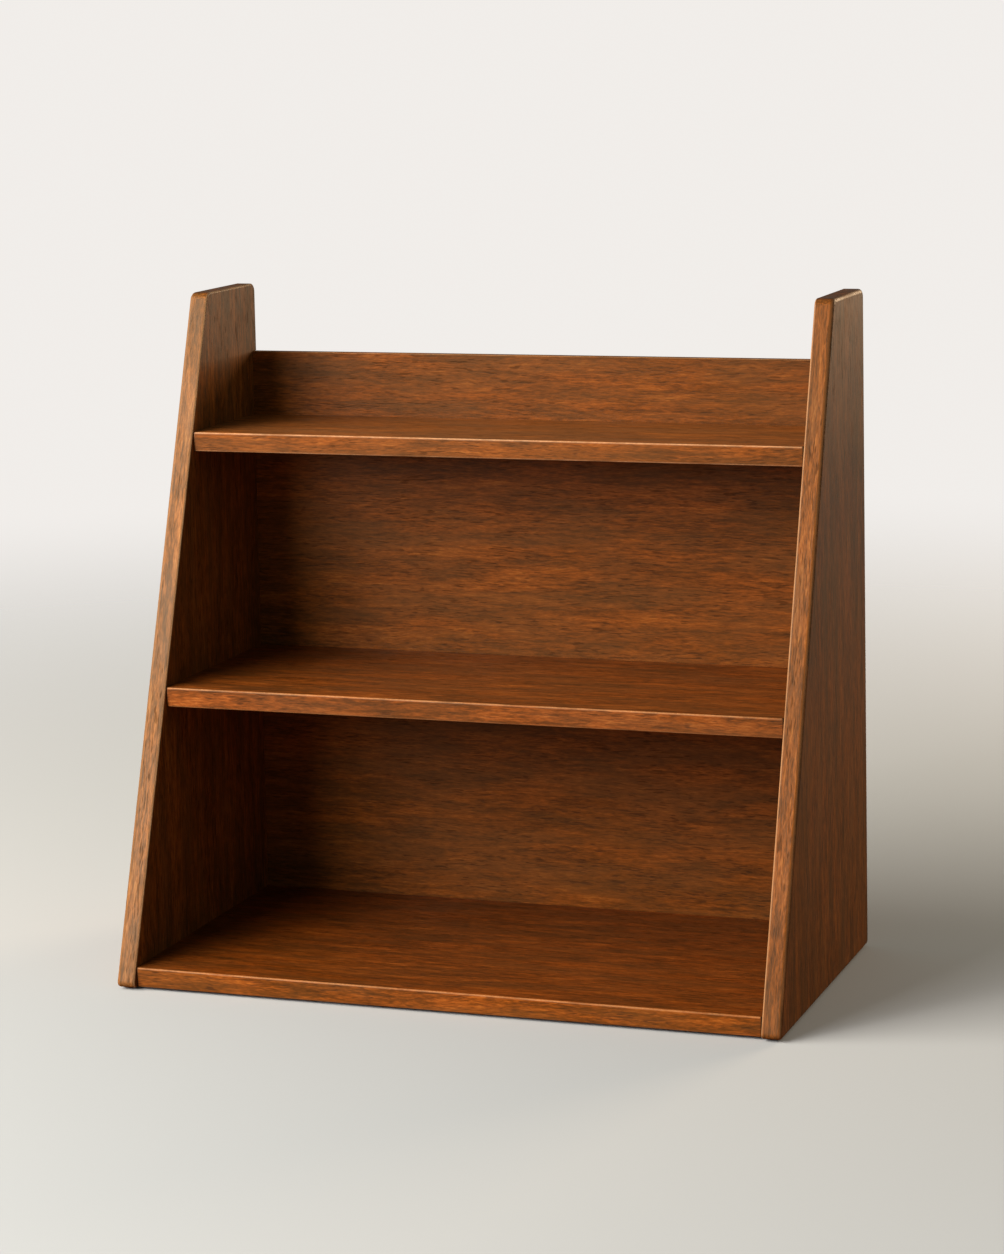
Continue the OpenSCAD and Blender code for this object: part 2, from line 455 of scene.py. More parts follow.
@dataclass(frozen=True)
class ArrisWearAndHighlightGroup:
    """Finish rubbed thin along an arris, with a painted highlight on it, broken up as handling leaves it.
    """

    patches: Layer = Layer(38.0, 38.0, 3.0, 0.6)
    nicks: Layer = Layer(420.0, 420.0, 1.0)
    patch_window: Pair = (0.30, 0.62)
    patch_share: Pair = (0.45, 1.0)
    nick_window: Pair = (0.35, 0.75)
    nick_share: Pair = (0.75, 1.0)

    def build(self) -> bpy.types.NodeTree:
        """Builds the group.

        Returns:
            The group's tree, whose Rubbed output goes from 0 to 1.
        """
        takes = {"Place": VECTOR, "Arris": FLOAT}
        wiring, entry, leave = group_tree("rubbed_arris_and_highlight", takes, {"Rubbed": FLOAT})
        place = entry.outputs["Place"]
        patches = wiring.noise("patches", place, self.patches).outputs["Fac"]
        nicks = wiring.noise("nicks", place, self.nicks).outputs["Fac"]
        worn_and_highlit = wiring.maths(
            "worn_and_highlit",
            "MULTIPLY",
            wiring.remap("patch share", patches, self.patch_window, self.patch_share),
            wiring.remap("nick share", nicks, self.nick_window, self.nick_share),
        )
        rubbed = wiring.maths("rubbed", "MULTIPLY", worn_and_highlit, entry.outputs["Arris"])
        wiring.feed(leave.inputs["Rubbed"], rubbed)
        return wiring.tree


@dataclass(frozen=True)
class HandlingGroup:
    """Uneven sheen from wiping, handling and fine dust."""

    smears: Layer = Layer(9.0, 9.0, 3.0, 0.55)
    specks: Layer = Layer(900.0, 900.0, 1.0)
    smear_window: Pair = (0.32, 0.68)
    speck_window: Pair = (0.66, 0.74)

    def build(self) -> bpy.types.NodeTree:
        """Builds the group.

        Returns:
            The group's tree, with Smears and Specks from 0 to 1.
        """
        gives = {"Smears": FLOAT, "Specks": FLOAT}
        wiring, entry, leave = group_tree("handling", {"Place": VECTOR}, gives)
        place = entry.outputs["Place"]
        smears = wiring.noise("smears", place, self.smears).outputs["Fac"]
        specks = wiring.noise("specks", place, self.specks).outputs["Fac"]
        wiring.feed(leave.inputs["Smears"], wiring.remap("smear spread", smears, self.smear_window))
        wiring.feed(leave.inputs["Specks"], wiring.remap("speck spread", specks, self.speck_window))
        return wiring.tree


class Effects:
    """The shared shader groups, each built once."""

    def __init__(self) -> None:
        """Builds every group."""
        self.grain = GrainGroup().build()
        self.rubbed = ArrisWearAndHighlightGroup().build()
        self.handling = HandlingGroup().build()


# ---- Finishes ---------------------------------------------------------------

LIVELY = (0.18, 0.41, 0.62, 0.86)  # where a board with strongly marked grain changes its tones


def new_material(name: str) -> tuple[bpy.types.Material, Wiring, bpy.types.Node]:
    """Starts a material with its shader in place.

    Args:
        name: The material's name.

    Returns:
        The material, its wiring and its Principled shader.
    """
    material = bpy.data.materials.new(name)
    material.use_nodes = True
    material.node_tree.nodes.clear()
    wiring = Wiring(material.node_tree)
    shader = wiring.place("ShaderNodeBsdfPrincipled", "surface")
    output = wiring.place("ShaderNodeOutputMaterial", "output")
    wiring.feed(output.inputs["Surface"], shader.outputs["BSDF"])
    return material, wiring, shader


@dataclass(frozen=True)
class WalnutFinish:
    """Red-brown stained walnut under satin lacquer, cut its own way for each board, with painted light
    and shade on it: each board's colour scaled to how it is lit, its front faces lightened, a highlight
    along its arrises and shade in its joint grooves.
    """

    name: str
    run: Run
    start: Triple
    # Painted light and shade: level scales the whole board's colour to how that board is lit, and front
    # lightens its forward-facing faces.
    level: Colour = PLAIN
    front: Colour = PLAIN
    deep: Colour = (0.068, 0.022, 0.0030, 1.0)
    brown: Colour = (0.150, 0.044, 0.0052, 1.0)
    warm: Colour = (0.285, 0.077, 0.0090, 1.0)
    pale: Colour = (0.440, 0.148, 0.0230, 1.0)
    grey: Colour = (0.105, 0.048, 0.0140, 1.0)
    pore: Colour = (0.030, 0.011, 0.0026, 1.0)
    # The finish rubbed off an arris, made pale enough to stand as the arris's painted highlight as well.
    bare_and_highlight: Colour = (0.850, 0.470, 0.2200, 1.0)
    # Painted shade: the dark colour laid in the joint grooves at the shelves' ends.
    painted_groove_shade: Colour = (0.012, 0.006, 0.0030, 1.0)
    end: Colour = (0.50, 0.42, 0.38, 1.0)
    stops: tuple[float, float, float, float] = (0.10, 0.38, 0.66, 0.95)
    band_share: float = 0.30
    streak_share: float = 0.40
    fibre_share: float = 0.30
    grey_share: Pair = (0.0, 0.50)
    pore_share: float = 0.50
    # How much of the rubbed colour and painted highlight shows on a fully rubbed arris.
    rubbed_and_highlight_share: float = 0.70
    end_window: Pair = (0.80, 0.97)
    front_window: Pair = (0.70, 0.93)
    lean: float = 0.0
    satin: Pair = (0.36, 0.50)
    pore_lift: float = 0.25
    bump_strength: float = 0.35
    bump_depth: float = 0.12 * MM
    specular: float = 0.15
    coat: float = 0.03
    coat_roughness: float = 0.22

    def board_place(self, wiring: Wiring, front_edge: Socket) -> Socket:
        """Turns the coordinate so that X runs along the grain, and starts it at its own spot in the log.

        The lipping on a leaning front edge has its grain along that edge.

        Args:
            wiring: The material's wiring.
            front_edge: Where the front edge is.

        Returns:
            The board's coordinate.
        """
        parts = wiring.place("ShaderNodeSeparateXYZ", "coordinate parts")
        wiring.feed(parts.inputs["Vector"], wiring.place_on_piece())
        leaning = wiring.maths("lean at this height", "MULTIPLY", parts.outputs["Z"], self.lean)
        lipped = wiring.maths("lean of the lipping", "MULTIPLY", leaning, front_edge)
        upright = wiring.place("ShaderNodeCombineXYZ", "lipping stood upright")
        wiring.feed(upright.inputs["X"], parts.outputs["X"])
        wiring.feed(upright.inputs["Y"], wiring.maths("depth", "SUBTRACT", parts.outputs["Y"], lipped))
        wiring.feed(upright.inputs["Z"], parts.outputs["Z"])
        turned = wiring.place("ShaderNodeMapping", "board in the log", vector_type="POINT")
        wiring.feed(turned.inputs["Vector"], upright.outputs["Vector"])
        wiring.feed(turned.inputs["Location"], self.start)
        quarter = math.pi / 2 if self.run is Run.ALONG_Z else 0.0
        wiring.feed(turned.inputs["Rotation"], (0.0, quarter, 0.0))
        return turned.outputs["Vector"]

    def faces(self, wiring: Wiring) -> tuple[Socket, Socket]:
        """Finds where the surface is cut across the grain, and where it is the board's front edge.

        Args:
            wiring: The material's wiring.

        Returns:
            Two masks: 1 on end grain, and 1 on the front edge.
        """
        facing = wiring.place("ShaderNodeNewGeometry", "facing")
        parts = wiring.place("ShaderNodeSeparateXYZ", "facing parts")
        wiring.feed(parts.inputs["Vector"], facing.outputs["Normal"])
        along = "Z" if self.run is Run.ALONG_Z else "X"
        turned = wiring.maths("turned along the grain", "ABSOLUTE", parts.outputs[along])
        forward = wiring.maths("turned forward", "MULTIPLY", parts.outputs["Y"], -1.0)
        return (
            wiring.remap("end grain", turned, self.end_window),
            wiring.remap("front edge", forward, self.front_window),
        )

    def colour(
        self,
        wiring: Wiring,
        grain: bpy.types.Node,
        cuts: tuple[Socket, Socket],
        rubbed: Socket,
        seam: Socket,
    ) -> Socket:
        """seam: Where painted shade lies in a joint's groove.

        Returns:
            The colour's socket.
        """
        bands = wiring.maths("band share", "MULTIPLY", grain.outputs["Bands"], self.band_share)
        streaks = wiring.maths("streak share", "MULTIPLY", grain.outputs["Streaks"], self.streak_share)
        fibres = wiring.maths("fibre share", "MULTIPLY", grain.outputs["Fibres"], self.fibre_share)
        broad = wiring.maths("bands and streaks", "ADD", bands, streaks)
        tone = wiring.maths("tone", "ADD", broad, fibres)
        shades = (self.deep, self.brown, self.warm, self.pale)
        timber = wiring.ramp("timber", tone, list(zip(self.stops, shades)))
        cool = wiring.remap("cool share", grain.outputs["Blotches"], WHOLE, self.grey_share)
        mottled = wiring.blend("mottled", cool, timber, self.grey)
        end_grain, front_edge = cuts
        # Painted light: the faces that look forward are lightened.
        fronted = wiring.blend("front edge painted light", front_edge, mottled, self.front, "MULTIPLY")
        cut = wiring.blend("end cut", end_grain, fronted, self.end, "MULTIPLY")
        open_pores = wiring.maths("pore share", "MULTIPLY", grain.outputs["Pores"], self.pore_share)
        pored = wiring.blend("with pores", open_pores, cut, self.pore)
        # The arrises: the finish rubbed thin, with a painted highlight.
        thinned_and_highlit = wiring.maths("rubbed share", "MULTIPLY", rubbed, self.rubbed_and_highlight_share)
        worn_and_highlit = wiring.blend("worn_and_highlit", thinned_and_highlit, pored, self.bare_and_highlight)
        # Painted light and shade: the whole board's colour scaled to how it is lit.
        levelled = wiring.blend("board painted light level", 1.0, worn_and_highlit, self.level, "MULTIPLY")
        # Painted shade in the joint grooves at the shelves' ends.
        return wiring.blend("with painted groove shade", seam, levelled, self.painted_groove_shade)

    def build(self, effects: Effects) -> bpy.types.Material:
        """Builds the material.

        Args:
            effects: The shared shader groups.

        Returns:
            The material.
        """
        material, wiring, shader = new_material(self.name)
        cuts = self.faces(wiring)
        place = self.board_place(wiring, cuts[1])
        grain = wiring.use(effects.grain, "grain", Board=place)
        arris = wiring.place("ShaderNodeAttribute", "arris", attribute_name=ARRIS)
        # Where the arrises are rubbed thin and carry a painted highlight.
        rubbed = wiring.use(effects.rubbed, "rubbed arris", Place=place, Arris=arris.outputs["Fac"])
        handling = wiring.use(effects.handling, "handling", Place=place)
        # How much painted shade lies in a joint's groove.
        seam = wiring.place("ShaderNodeAttribute", "seam", attribute_name=GROOVE_SHADE)
        tone = self.colour(wiring, grain, cuts, rubbed.outputs["Rubbed"], seam.outputs["Fac"])
        wiring.feed(shader.inputs["Base Color"], tone)
        satin = wiring.remap("satin", handling.outputs["Smears"], WHOLE, self.satin)
        lifted = wiring.maths("pore roughness", "MULTIPLY", grain.outputs["Pores"], self.pore_lift)
        wiring.feed(shader.inputs["Roughness"], wiring.maths("roughness", "ADD", satin, lifted))
        height = wiring.maths("height", "SUBTRACT", grain.outputs["Fibres"], grain.outputs["Pores"])
        raised = wiring.bump("open grain", height, self.bump_strength, self.bump_depth)
        wiring.feed(shader.inputs["Normal"], raised)
        wiring.feed(shader.inputs["Specular IOR Level"], self.specular)
        wiring.feed(shader.inputs["Coat Weight"], self.coat)
        wiring.feed(shader.inputs["Coat Roughness"], self.coat_roughness)
        return material


@dataclass(frozen=True)
class BeechFinish:
    """Raw beech, as dowels are sold: pale, with short flecks."""

    name: str = "beech_dowel"
    dark: Colour = (0.46, 0.29, 0.16, 1.0)
    light: Colour = (0.70, 0.52, 0.34, 1.0)
    fleck: Colour = (0.30, 0.16, 0.08, 1.0)
    fleck_share: float = 0.6
    roughness: Pair = (0.55, 0.75)
    bump_strength: float = 0.3
    bump_depth: float = 0.1 * MM

    def build(self, effects: Effects) -> bpy.types.Material:
        """Builds the material.

        Args:
            effects: The shared shader groups.

        Returns:
            The material.
        """
        material, wiring, shader = new_material(self.name)
        source = wiring.place_on_piece()
        grain = wiring.use(effects.grain, "grain", Board=source)
        shades = list(zip(WHOLE, (self.dark, self.light)))
        timber = wiring.ramp("timber", grain.outputs["Streaks"], shades)
        flecks = wiring.maths("fleck share", "MULTIPLY", grain.outputs["Pores"], self.fleck_share)
        wiring.feed(shader.inputs["Base Color"], wiring.blend("with flecks", flecks, timber, self.fleck))
        rough = wiring.remap("roughness", grain.outputs["Fibres"], WHOLE, self.roughness)
        wiring.feed(shader.inputs["Roughness"], rough)
        raised = wiring.bump("fibres", grain.outputs["Fibres"], self.bump_strength, self.bump_depth)
        wiring.feed(shader.inputs["Normal"], raised)
        return material


@dataclass(frozen=True)
class ZincFinish:
    """Bright zinc plating on steel, a little uneven."""

    name: str = "zinc_plated_steel"
    dull: Colour = (0.46, 0.45, 0.42, 1.0)
    bright: Colour = (0.70, 0.69, 0.65, 1.0)
    grime: Colour = (0.12, 0.10, 0.08, 1.0)
    grime_share: float = 0.5
    metal: float = 1.0
    roughness: Pair = (0.24, 0.42)
    crystals: Layer = Layer(700.0, 700.0, 3.0, 0.6)
    crystal_window: Pair = (0.3, 0.7)
    bump_strength: float = 0.15
    bump_depth: float = 0.05 * MM

    def build(self, effects: Effects) -> bpy.types.Material:
        """Builds the material.

        Args:
            effects: The shared shader groups.

        Returns:
            The material.
        """
        material, wiring, shader = new_material(self.name)
        source = wiring.place_on_piece()
        handling = wiring.use(effects.handling, "handling", Place=source)
        crystals = wiring.noise("plating", source, self.crystals).outputs["Fac"]
        plate = wiring.ramp("plate", crystals, list(zip(self.crystal_window, (self.dull, self.bright))))
        grime = wiring.maths("grime share", "MULTIPLY", handling.outputs["Specks"], self.grime_share)
        wiring.feed(shader.inputs["Base Color"], wiring.blend("with grime", grime, plate, self.grime))
        rough = wiring.remap("roughness", crystals, self.crystal_window, self.roughness)
        wiring.feed(shader.inputs["Roughness"], rough)
        wiring.feed(shader.inputs["Metallic"], self.metal)
        raised = wiring.bump("plating bump", crystals, self.bump_strength, self.bump_depth)
        wiring.feed(shader.inputs["Normal"], raised)
        return material


@dataclass(frozen=True)
class FeltFinish:
    """Dark brown pressed wool felt."""

    name: str = "brown_felt"
    shade: Colour = (0.030, 0.020, 0.015, 1.0)
    tuft: Colour = (0.095, 0.068, 0.050, 1.0)
    wool: Layer = Layer(1500.0, 1500.0, 4.0, 0.7)
    wool_stops: Pair = (0.35, 0.65)
    wool_window: Pair = (0.3, 0.7)
    roughness: Pair = (0.85, 1.0)
    sheen: float = 0.4
    bump_strength: float = 0.8
    bump_depth: float = 0.15 * MM

    def build(self, effects: Effects) -> bpy.types.Material:
        """Builds the material.

        Args:
            effects: The shared shader groups.

        Returns:
            The material.
        """
        material, wiring, shader = new_material(self.name)
        source = wiring.place_on_piece()
        wool = wiring.noise("wool", source, self.wool).outputs["Fac"]
        handling = wiring.use(effects.handling, "handling", Place=source)
        fibre = wiring.ramp("fibre", wool, list(zip(self.wool_stops, (self.shade, self.tuft))))
        linted = wiring.blend("with lint", handling.outputs["Specks"], fibre, self.tuft)
        wiring.feed(shader.inputs["Base Color"], linted)
        rough = wiring.remap("roughness", wool, self.wool_window, self.roughness)
        wiring.feed(shader.inputs["Roughness"], rough)
        wiring.feed(shader.inputs["Sheen Weight"], self.sheen)
        raised = wiring.bump("nap", wool, self.bump_strength, self.bump_depth)
        wiring.feed(shader.inputs["Normal"], raised)
        return material


@dataclass(frozen=True)
class FloorFinish:
    """Plain pale floor of the studio, which fades into the surround away from the stand.

    Its glow on the stand is the warm brown one of a wooden sideboard.
    """

    name: str = "pale_floor"
    colour: Colour = (0.54, 0.59, 0.68, 1.0)
    glow: Colour = (0.20, 0.085, 0.030, 1.0)
    roughness: float = 0.9
    fade: Pair = (0.5, 2.6)

    def build(self) -> bpy.types.Material:
        """Builds the material.

        Returns:
            The material.
        """
        material, wiring, shader = new_material(self.name)
        source = wiring.place_on_piece()
        reach = wiring.place("ShaderNodeVectorMath", "from the middle", operation="LENGTH")
        wiring.feed(reach.inputs[0], source)
        shown = wiring.remap("shown", reach.outputs["Value"], self.fade, (1.0, 0.0))
        sight = wiring.place("ShaderNodeLightPath", "seen or lit by")
        tone = wiring.blend("floor tone", sight.outputs["Is Camera Ray"], self.glow, self.colour)
        wiring.feed(shader.inputs["Base Color"], tone)
        wiring.feed(shader.inputs["Roughness"], self.roughness)
        wiring.feed(shader.inputs["Alpha"], shown)
        return material


# ---- Board work -------------------------------------------------------------


def square_blank(low: Vector, high: Vector) -> bmesh.types.BMesh:
    """Saws a square-edged blank.

    Args:
        low: Its lowest corner.
        high: Its highest corner.

    Returns:
        The blank's mesh.
    """
    blank = bmesh.new()
    bmesh.ops.create_cube(blank, size=1.0)
    bmesh.ops.scale(blank, vec=high - low, verts=blank.verts)
    bmesh.ops.translate(blank, vec=(high + low) / 2, verts=blank.verts)
    return blank


def make_piece(name: str, shape: bmesh.types.BMesh) -> bpy.types.Object:
    """Makes an object of a shape and puts it in the scene.

    Args:
        name: The piece's name.
        shape: Its mesh; it is used up.

    Returns:
        The piece.
    """
    mesh = bpy.data.meshes.new(name)
    shape.to_mesh(mesh)
    shape.free()
    piece = bpy.data.objects.new(name, mesh)
    bpy.context.scene.collection.objects.link(piece)
    return piece


def rim(blank: bmesh.types.BMesh, axis: Axis, place: float) -> list[bmesh.types.BMEdge]:
    """Finds the edges round one flat face.

    Args:
        blank: The board's mesh.
        axis: The axis that the face is square to.
        place: Where the face lies along that axis.

    Returns:
        The face's edges.
    """
    for face in blank.faces:
        if all(abs(vert.co[axis.value] - place) < SAME_PLACE for vert in face.verts):
            return list(face.edges)
    raise ValueError(f"no flat face at {axis.name} {place}")


def round_over(
    blank: bmesh.types.BMesh, edges: list[bmesh.types.BMEdge], radius: float, segments: int
) -> None:
    """Rounds edges that all turn by the same angle.

    Args:
        blank: The board's mesh.
        edges: The edges to round.
        radius: The rounding's radius.
        segments: Steps across the rounding.
    """
    turn = edges[0].calc_face_angle()
    bmesh.ops.bevel(
        blank,
        geom=edges,
        offset=radius * math.tan(turn / 2),
        offset_type="OFFSET",
        segments=segments,
        profile=ROUND_PROFILE,
        affect="EDGES",
        material=KEEP_MATERIAL,
    )


def rod(waste: bmesh.types.BMesh, start: Vector, end: Vector, radius: float, segments: int) -> None:
    """Adds the waste of one drilling.

    Args:
        waste: The mesh that gathers the waste.
        start: Where the drilling starts.
        end: Where it stops.
        radius: Its radius.
        segments: Sides round it.
    """
    along = end - start
    turn = Vector((0.0, 0.0, 1.0)).rotation_difference(along).to_matrix().to_4x4()
    bmesh.ops.create_cone(
        waste,
        cap_ends=True,
        segments=segments,
        radius1=radius,
        radius2=radius,
        depth=along.length,
        matrix=Matrix.Translation((start + end) / 2) @ turn,
    )


def cut_away(piece: bpy.types.Object, waste: bmesh.types.BMesh) -> None:
    """Takes waste out of a board for good.

    Args:
        piece: The board.
        waste: What comes out of it; it is used up.
    """
    for face in waste.faces:
        face.smooth = len(face.verts) == WALL_CORNERS
    tool = make_piece("waste", waste)
    mesh = tool.data
    cut = piece.modifiers.new("cut", "BOOLEAN")
    cut.operation = "DIFFERENCE"
    cut.solver = "EXACT"
    cut.object = tool
    bpy.context.view_layer.update()
    graph = bpy.context.evaluated_depsgraph_get()
    finished = bpy.data.meshes.new_from_object(
        piece.evaluated_get(graph), preserve_all_data_layers=True, depsgraph=graph
    )
    finished.name = piece.name
    piece.modifiers.clear()
    squared = piece.data
    piece.data = finished
    bpy.data.meshes.remove(squared)
    bpy.data.objects.remove(tool)
    bpy.data.meshes.remove(mesh)


def spaced(first: float, last: float, count: int) -> list[float]:
    """Spaces values evenly.

    Args:
        first: The first value.
        last: The last value.
        count: How many there are.

    Returns:
        The values, both ends among them.
    """
    return [first + (last - first) * index / (count - 1) for index in range(count)]


@dataclass
class Board:
    """A board of the stand: how it is sized, rounded, drilled and finished."""

    piece_name: str
    node: str
    finish: WalnutFinish
    flat_from: float = field(default=0.9999, init=False)
    piece: bpy.types.Object | None = field(default=None, init=False)

    def blank(self) -> bmesh.types.BMesh:
        """Makes the board with its edges rounded."""
        raise NotImplementedError

    def waste(self) -> bmesh.types.BMesh:
        """Gathers what is drilled and cut out of the board."""
        raise NotImplementedError

    def flatness(self, normal: Vector) -> float:
        """Says how squarely a normal belongs to one of the board's flat faces, 1 for wholly."""
        return max(abs(part) for part in normal)

    def mark_arrises(self, blank: bmesh.types.BMesh) -> None:
        """Shades the roundings smooth and writes, for each point, how far it lies on an arris, whose
        finish is rubbed thin with a painted highlight, and how much painted shade it gets in a joint's
        groove.

        Args:
            blank: The board's mesh.
        """
        arris = blank.verts.layers.float.new(ARRIS)
        seam = blank.verts.layers.float.new(GROOVE_SHADE)
        blank.normal_update()
        for face in blank.faces:
            face.smooth = self.flatness(face.normal) < self.flat_from
        for vert in blank.verts:
            if all(face.smooth for face in vert.link_faces):
                # Painted shade in a joint's groove, and outside it the rubbed finish and painted
                # highlight of the arris.
                groove_shaded = self.seam(vert.normal)
                lean = min(1.0, (1.0 - self.flatness(vert.normal)) / (1.0 - FULL_WEAR_AND_HIGHLIGHT_LEAN))
                vert[seam] = groove_shaded
                vert[arris] = lean * self.handled_and_highlit(vert.normal) * (1.0 - groove_shaded)

    def seam(self, normal: Vector) -> float:
        """Says how much painted shade a rounding with this normal gets in a joint's groove, 0 for none.
        """
        return 0.0

    def handled_and_highlit(self, normal: Vector) -> float:
        """Says how much a rounding with this normal gets rubbed and how strong its painted highlight is,
        1 for the most.
        """
        return 1.0

    def build(self) -> bpy.types.Object:
        """Builds the board.

        Returns:
            The finished board.
        """
        blank = self.blank()
        self.mark_arrises(blank)
        self.piece = make_piece(self.piece_name, blank)
        cut_away(self.piece, self.waste())
        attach(self.piece, BODY)
        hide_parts(self.node)
        return self.piece

    def dress(self, effects: Effects) -> None:
        """Finishes the board.

        Args:
            effects: The shared shader groups.
        """
        self.piece.data.materials.clear()
        self.piece.data.materials.append(self.finish.build(effects))


@dataclass
class DowelJoint:
    """Where the dowels of one shelf go, measured from the shelf."""

    node: str
    diameter: float = 8.0 * MM
    gap: float = 0.05 * MM
    in_side: float = 9.5 * MM
    in_shelf: float = 20.5 * MM
    glue_room: float = 1.0 * MM
    inset: float = 26.0 * MM
    count: int = 3
    segments: int = 32

    def places(self) -> list[Pair]:
        """Finds the dowels.

        Returns:
            The y and z of each dowel's middle.
        """
        low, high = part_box(self.node)
        middle = (low.z + high.z) / 2
        return [(y, middle) for y in spaced(low.y + self.inset, high.y - self.inset, self.count)]

    def drill(self, waste: bmesh.types.BMesh, face_x: float, depth: float) -> None:
        """Drills the row of bores into one face.

        Args:
            waste: The mesh that gathers the waste.
            face_x: Where the face is.
            depth: How deep the bores go, with their way as the sign.
        """
        radius = self.diameter / 2 + self.gap
        back_off = math.copysign(PAST, depth)
        for y, z in self.places():
            start = Vector((face_x - back_off, y, z))
            end = Vector((face_x + depth, y, z))
            rod(waste, start, end, radius, self.segments)


@dataclass
class SideBoard(Board):
    """A tapering upright: rounded corners, a soft outer arris, a finer inner one and a rebate."""

    side: Side = Side.LEFT
    foot_depth: float = FOOT_DEPTH
    head_depth: float = HEAD_DEPTH
    foot_corner: float = 4.0 * MM
    head_corner: float = 7.0 * MM
    outer_arris: float = 3.0 * MM
    inner_arris: float = 1.5 * MM
    # The outer arris is rubbed less and gets a fainter painted highlight than the inner one.
    outer_rub_and_highlight: float = 0.3
    rebate_width: float = 7.0 * MM
    rebate_slack: float = 0.1 * MM
    rebate_gap: float = 0.3 * MM
    corner_steps: int = 8
    arris_steps: int = 6

    def flatness(self, normal: Vector) -> float:
        """Says how squarely a normal belongs to a broad face or to the board's outline, 1 for wholly."""
        across = min(1.0, abs(normal.x))
        return max(across, math.sqrt(1.0 - across**2))

    def handled_and_highlit(self, normal: Vector) -> float:
        """Says how much an arris gets rubbed and highlighted: the broad outer one less than the fine
        inner one.
        """
        return self.outer_rub_and_highlight if normal.x * self.side.value > 0.0 else 1.0

    def corner_edges(self, blank: bmesh.types.BMesh, top: bool) -> list[bmesh.types.BMEdge]:
        """Finds the short edges at the top or the bottom corners.

        Args:
            blank: The board's mesh.
            top: Whether the top corners are wanted.

        Returns:
            The two edges.
        """
        middle = sum((vert.co.z for vert in blank.verts)) / len(blank.verts)
        found = []
        for edge in blank.edges:
            first, second = (vert.co for vert in edge.verts)
            runs_across = abs(first.x - second.x) > SAME_PLACE
            if runs_across and (first.z > middle) == top:
                found.append(edge)
        return found

    def blank(self) -> bmesh.types.BMesh:
        """Makes the upright with its taper and roundings.

        Returns:
            The board's mesh.
        """
        low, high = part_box(self.node)
        low = Vector((low.x, high.y - self.foot_depth, low.z))
        blank = square_blank(low, high)
        middle = (low.z + high.z) / 2
        head_front = [vert for vert in blank.verts if vert.co.y < 0.0 and vert.co.z > middle]
        bmesh.ops.translate(blank, vec=(0.0, self.foot_depth - self.head_depth, 0.0), verts=head_front)
        for top, radius in ((False, self.foot_corner), (True, self.head_corner)):
            corners = sorted(self.corner_edges(blank, top), key=lambda edge: edge.verts[0].co.y)
            spots = [corner.verts[0].co.copy() for corner in corners]
            for spot in spots:
                corner = [
                    edge
                    for edge in blank.edges
                    if all((vert.co - spot).yz.length < SAME_PLACE for vert in edge.verts)
                ]
                round_over(blank, corner, radius, self.corner_steps)
        outer_x = low.x if self.side is Side.LEFT else high.x
        inner_x = high.x if self.side is Side.LEFT else low.x
        for face_x, radius in ((outer_x, self.outer_arris), (inner_x, self.inner_arris)):
            round_over(blank, rim(blank, Axis.X, face_x), radius, self.arris_steps)
        return blank

    def waste(self) -> bmesh.types.BMesh:
        """Gathers the rebate and the dowel bores.

        Returns:
            The waste's mesh.
        """
        low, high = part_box(self.node)
        back_low, back_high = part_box("back_panel")
        way = self.side.value
        inner_x = high.x if self.side is Side.LEFT else low.x
        near = Vector((inner_x - way * PAST, back_low.y - self.rebate_slack, low.z - PAST))
        far = Vector((inner_x + way * self.rebate_width, high.y + PAST, back_high.z + self.rebate_gap))
        waste = square_blank(Vector(map(min, near, far)), Vector(map(max, near, far)))
        for level in Level:
            joint = DowelJoint(f"{level.value}_shelf")
            joint.drill(waste, inner_x, way * (joint.in_side + joint.glue_room))
        return waste


@dataclass
class ShelfBoard(Board):
    """A shelf: eased round its front and its rear, bored for dowels and drilled for the back's screws."""

    front_arris: float = 1.5 * MM
    rear_arris: float = 0.5 * MM
    front_steps: int = 6
    rear_steps: int = 3
    # How far from each end the painted shade of the joint's groove reaches, and how quickly it comes in.
    groove_shade_reach: float = 1.9 * MM
    groove_shade_gain: float = 2.0
    screw_count: int = 4
    screw_inset: float = 49.9 * MM
    screw_depth: float = 22.4 * MM
    screw_radius: float = 1.85 * MM
    screw_segments: int = 24

    def seam(self, normal: Vector) -> float:
        """Says how much painted shade a rounding gets as it turns towards the side board that the shelf
        butts against.
        """
        return min(1.0, self.groove_shade_gain * abs(normal.x))

    def blank(self) -> bmesh.types.BMesh:
        """Makes the shelf with its roundings.

        Returns:
            The board's mesh.
        """
        low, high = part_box(self.node)
        blank = square_blank(low, high)
        for face_y, radius, steps in (
            (low.y, self.front_arris, self.front_steps),
            (high.y, self.rear_arris, self.rear_steps),
        ):
            round_over(blank, rim(blank, Axis.Y, face_y), radius, steps)
        # Loops near each end, where the painted shade of the joint's groove fades out.
        for x in (low.x + self.groove_shade_reach, high.x - self.groove_shade_reach):
            whole = [*blank.verts, *blank.edges, *blank.faces]
            bmesh.ops.bisect_plane(
                blank, geom=whole, plane_co=(x, 0.0, 0.0), plane_no=(1.0, 0.0, 0.0)
            )
        return blank

    def waste(self) -> bmesh.types.BMesh:
        """Gathers the dowel bores and the screw holes.

        Returns:
            The waste's mesh.
        """
        low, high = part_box(self.node)
        waste = bmesh.new()
        joint = DowelJoint(self.node)
        depth = joint.in_shelf + joint.glue_room
        joint.drill(waste, low.x, depth)
        joint.drill(waste, high.x, -depth)
        for x in spaced(low.x + self.screw_inset, high.x - self.screw_inset, self.screw_count):
            start = Vector((x, high.y + PAST, (low.z + high.z) / 2))
            end = Vector((x, high.y - self.screw_depth, start.z))
            rod(waste, start, end, self.screw_radius, self.screw_segments)
        return waste


